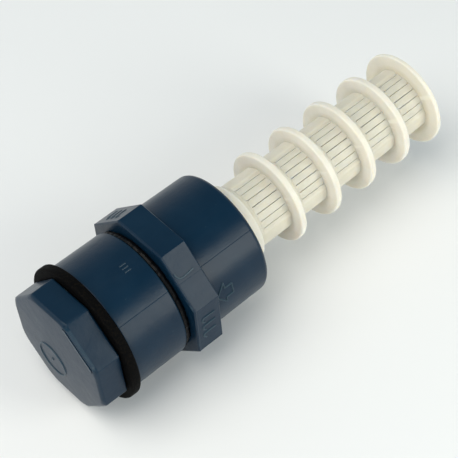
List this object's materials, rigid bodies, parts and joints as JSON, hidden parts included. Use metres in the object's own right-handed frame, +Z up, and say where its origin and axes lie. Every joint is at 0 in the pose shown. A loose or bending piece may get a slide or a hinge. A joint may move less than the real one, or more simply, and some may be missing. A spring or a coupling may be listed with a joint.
{
  "type": "foot valve",
  "caption": "Spring-loaded plastic foot valve with a slotted suction strainer, an octagonal spanner band and a screwed octagonal plug in its outlet socket.",
  "frame": {"origin": "bottom centre of the bounding box: on the surface that the valve lies on, below the middle of its length", "axes": "+X along the valve's axis from the outlet plug to the strainer's end, +Z up, with the octagonal band resting on one of its flats"},
  "size_m": [0.2118, 0.0684, 0.0684],
  "materials": {
    "blue_grey_pvc": "satin injection-moulded PVC, dark blue-grey",
    "black_rubber": "matte black rubber",
    "natural_polypropylene": "satin natural polypropylene, creamy and slightly translucent",
    "white_acetal": "smooth white moulded plastic",
    "stainless_steel": "drawn and pressed stainless steel"
  },
  "bodies": {
    "valve": {"outlet_barrel": "blue_grey_pvc", "barrel_gasket": "black_rubber", "valve_body": "blue_grey_pvc", "seat_ring": "white_acetal", "seat_o_ring": "black_rubber", "guide_cage": "white_acetal", "guide_bush": "white_acetal", "spring_washer": "stainless_steel", "return_spring": "stainless_steel"},
    "plug_seal": {"plug_washer": "black_rubber"},
    "plug": {"outlet_plug": "blue_grey_pvc"},
    "check_poppet": {"poppet": "blue_grey_pvc", "poppet_seal": "black_rubber", "seal_retainer": "stainless_steel", "retainer_screw": "stainless_steel"},
    "strainer": {"strainer": "natural_polypropylene", "strainer_o_ring": "black_rubber"}
  },
  "joints": [
    {"name": "plug_lead", "type": "slide", "parent": "valve", "child": "plug_seal", "axis": [-1, 0, 0], "range_m": [0, 0.0144]},
    {"name": "plug_turn", "type": "hinge", "parent": "plug_seal", "child": "plug", "pos_m": [-0.10585, 0, 0.0342], "axis": [-1, 0, 0], "range_deg": [0, 2250]},
    {"name": "poppet_lift", "type": "slide", "parent": "valve", "child": "check_poppet", "axis": [-1, 0, 0], "range_m": [0, 0.008], "stiffness_N_per_m": 180, "springref_m": -0.006, "deforming": ["return_spring"]},
    {"name": "strainer_pull", "type": "slide", "parent": "valve", "child": "strainer", "axis": [1, 0, 0], "range_m": [0, 0.015]}
  ],
  "couplings": [
    {"joint": "plug_turn", "follows": "plug_lead", "rad_per_m": 2721.2}
  ]
}
